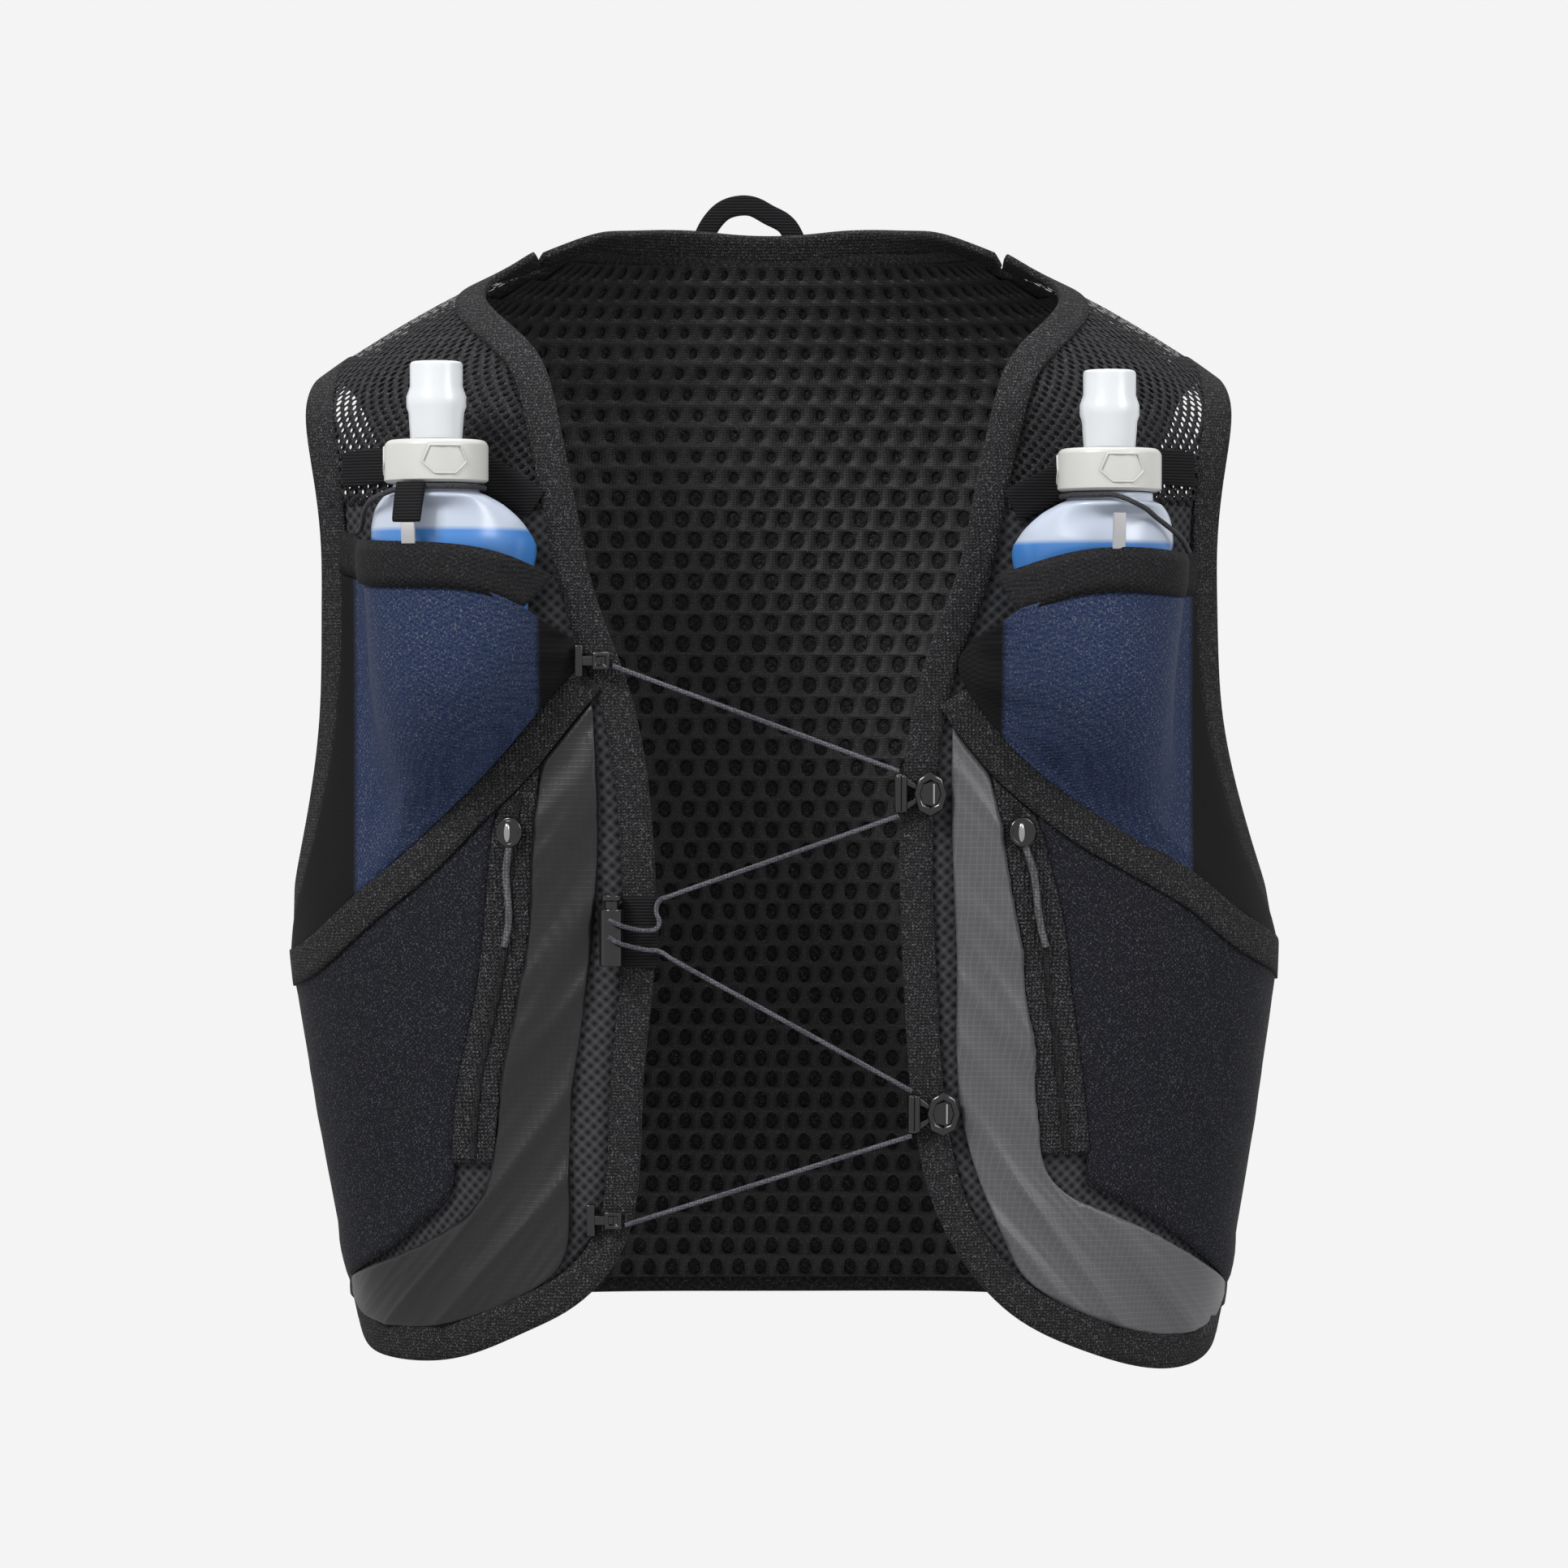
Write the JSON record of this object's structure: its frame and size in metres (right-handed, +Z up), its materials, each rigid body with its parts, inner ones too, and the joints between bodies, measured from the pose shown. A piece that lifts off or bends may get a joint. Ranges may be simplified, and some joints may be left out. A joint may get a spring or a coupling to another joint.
{
  "type": "running hydration vest",
  "caption": "Open-front running vest of dark mesh with woven bindings, chest flask pockets, zipped side pockets and an elastic lace with a cord lock.",
  "frame": {"origin": "middle of the shoulder line, where the vest hangs on the shoulders", "axes": "+Z up, front towards -Y, +X to the right of a viewer who faces the front"},
  "size_m": [0.4265, 0.2386, 0.5068],
  "materials": {
    "binding": "matt woven tape",
    "knit_net": "open knit net",
    "mesh": "spacer mesh",
    "webbing": "ribbed webbing",
    "pocket_mesh": "fine stretch mesh",
    "zip_knit": "knitted tape",
    "stretch_mesh": "stretch mesh",
    "ripstop": "light ripstop",
    "flask_film": "frosted film",
    "cap": "satin",
    "silicone": "translucent",
    "cord": "braided",
    "reflective": "reflective",
    "gloss": "glossy"
  },
  "bodies": {
    "vest": {"armhole_binding_L": "binding", "front_binding_L": "binding", "shoulder_L": "knit_net", "front_panel_L": "mesh", "pocket_hem_L": "webbing", "flask_pocket_L": "pocket_mesh", "pocket_binding_L": "binding", "zip_tape_L": "zip_knit", "lower_pocket_L": "stretch_mesh", "ripstop_panel_L": "ripstop", "armhole_binding_R": "binding", "front_binding_R": "binding", "shoulder_R": "knit_net", "front_panel_R": "mesh", "pocket_hem_R": "webbing", "flask_pocket_R": "pocket_mesh", "pocket_binding_R": "binding", "zip_tape_R": "zip_knit", "lower_pocket_R": "stretch_mesh", "ripstop_panel_R": "ripstop", "collar_binding": "binding", "back_hem": "binding", "back_panel": "mesh", "hang_loop": "webbing", "flask_L": "flask_film", "neck_strap_L": "webbing", "flask_bungee_L": "cord", "reflective_tab_L": "reflective", "flask_R": "flask_film", "neck_strap_R": "webbing", "flask_bungee_R": "cord", "reflective_tab_R": "reflective", "flask_tab_L": "webbing", "zip_slider_L": "gloss", "zip_pull_L": "cord", "zip_slider_R": "gloss", "zip_pull_R": "cord", "lace_hook_1": "gloss", "lace_hook_2": "gloss", "lace_hook_3": "gloss", "lace_hook_4": "gloss", "lock_tab": "webbing", "cord_lock_barrel": "gloss", "lace_1": "cord", "lace_2": "cord", "lace_3": "cord", "lace_4": "cord"},
    "lock_button": {"cord_lock_button": "gloss"},
    "cap_l": {"flask_cap_L": "cap", "bite_valve_L": "silicone"},
    "cap_r": {"flask_cap_R": "cap", "bite_valve_R": "silicone"}
  },
  "joints": [
    {"name": "lock_press", "type": "slide", "parent": "vest", "child": "lock_button", "axis": [0, 0, -1], "range_m": [0, 0.003], "stiffness_N_per_m": 300, "springref_m": -0.003},
    {"name": "cap_turn_l", "type": "hinge", "parent": "vest", "child": "cap_l", "pos_m": [-0.1447, -0.1052, -0.08], "axis": [0, 0, 1], "range_deg": [0, 90]},
    {"name": "cap_turn_r", "type": "hinge", "parent": "vest", "child": "cap_r", "pos_m": [0.1355, -0.104, -0.0835], "axis": [0, 0, 1], "range_deg": [0, 90]}
  ]
}
